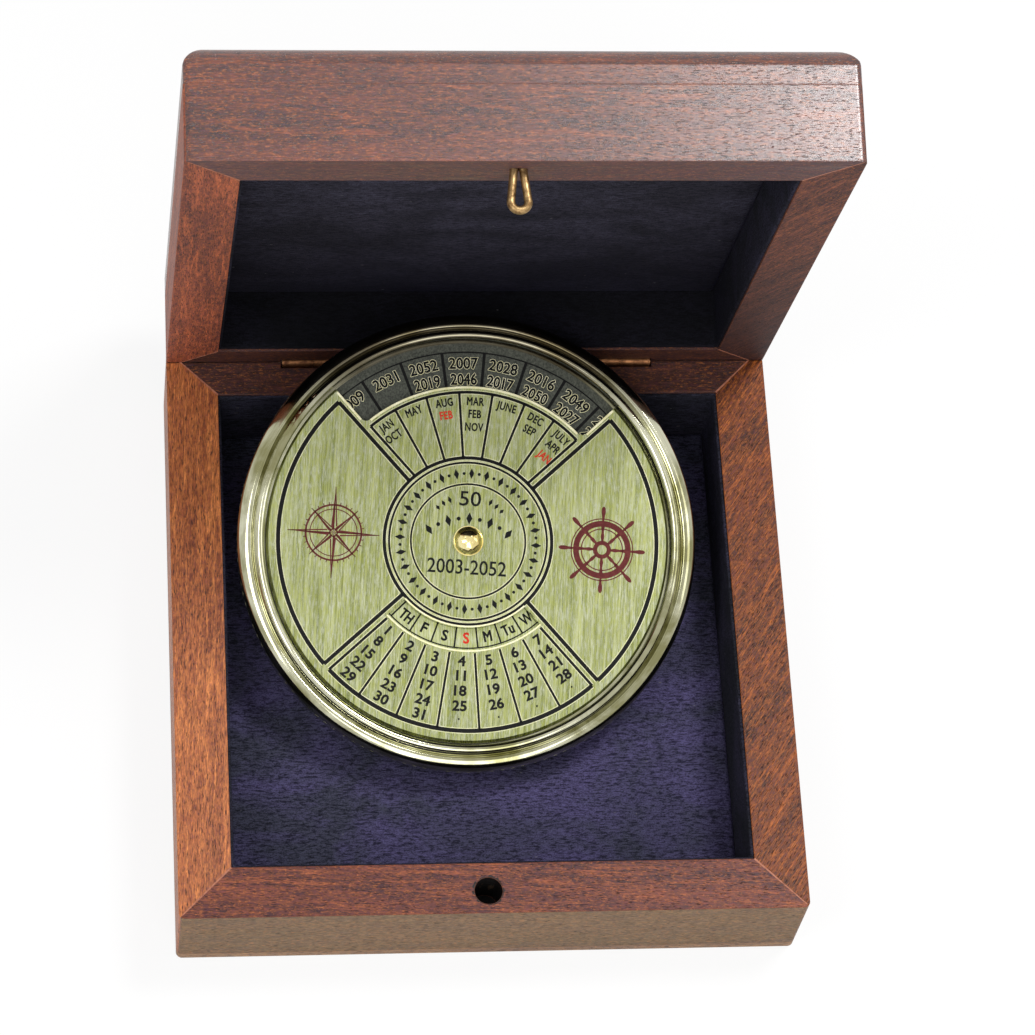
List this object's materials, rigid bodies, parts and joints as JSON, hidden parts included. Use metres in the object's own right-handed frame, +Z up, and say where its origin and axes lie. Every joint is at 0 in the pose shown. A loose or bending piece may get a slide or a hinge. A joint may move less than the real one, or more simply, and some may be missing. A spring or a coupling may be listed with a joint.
{
  "type": "perpetual desk calendar",
  "caption": "Round brass perpetual calendar with a turning dial, leaning in an open velvet-lined wooden box with a hinged lid and a wire-loop catch.",
  "frame": {"origin": "middle of the box's underside", "axes": "+Z up, +Y from the front towards the hinges, +X to the right along the front"},
  "size_m": [0.1016, 0.1175, 0.1189],
  "materials": {
    "rosewood": "oiled, open-pored",
    "velvet": "short-pile navy velvet",
    "card": "grey card",
    "hinge_brass": "drawn",
    "polished_brass": "turned and polished",
    "brushed_brass": "brushed in straight strokes",
    "dark_brass": "darkened",
    "spring_brass": "rolled"
  },
  "bodies": {
    "base": {"base_front_rail": "rosewood", "base_rear_rail": "rosewood", "base_left_rail": "rosewood", "base_right_rail": "rosewood", "base_panel": "rosewood", "base_card": "card", "base_velvet_pad": "velvet", "base_wall_velvet": "velvet", "left_hinge_base_leaf": "hinge_brass", "left_hinge_pin": "hinge_brass", "right_hinge_base_leaf": "hinge_brass", "right_hinge_pin": "hinge_brass", "base_hinge_brads": "hinge_brass"},
    "lid": {"lid_front_rail": "rosewood", "lid_rear_rail": "rosewood", "lid_left_rail": "rosewood", "lid_right_rail": "rosewood", "lid_top_panel": "rosewood", "lid_card": "card", "lid_velvet_pad": "velvet", "lid_wall_velvet": "velvet", "left_hinge_lid_leaf": "hinge_brass", "right_hinge_lid_leaf": "hinge_brass", "lid_hinge_brads": "hinge_brass", "catch_loop": "hinge_brass"},
    "calendar": {"calendar_case": "polished_brass", "year_disc": "dark_brass", "tension_washer": "spring_brass", "centre_post": "polished_brass", "dome_nut": "polished_brass"},
    "dial": {"dial_plate": "brushed_brass"}
  },
  "joints": [
    {"name": "lid_hinge", "type": "hinge", "parent": "base", "child": "lid", "pos_m": [0, 0.0483, 0.0186], "axis": [1, 0, 0], "range_deg": [0, 80]},
    {"name": "calendar_lay", "type": "hinge", "parent": "lid", "child": "calendar", "pos_m": [-0.0019, 0.04281, 0.03643], "axis": [1, 0, 0], "range_deg": [-98, 0]},
    {"name": "dial_turn", "type": "hinge", "parent": "calendar", "child": "dial", "pos_m": [-0.0019, 0.01292, 0.02232], "axis": [0, -0.3089, 0.9511], "continuous": true}
  ],
  "couplings": [
    {"joint": "calendar_lay", "follows": "lid_hinge", "ratio": -1.225}
  ]
}
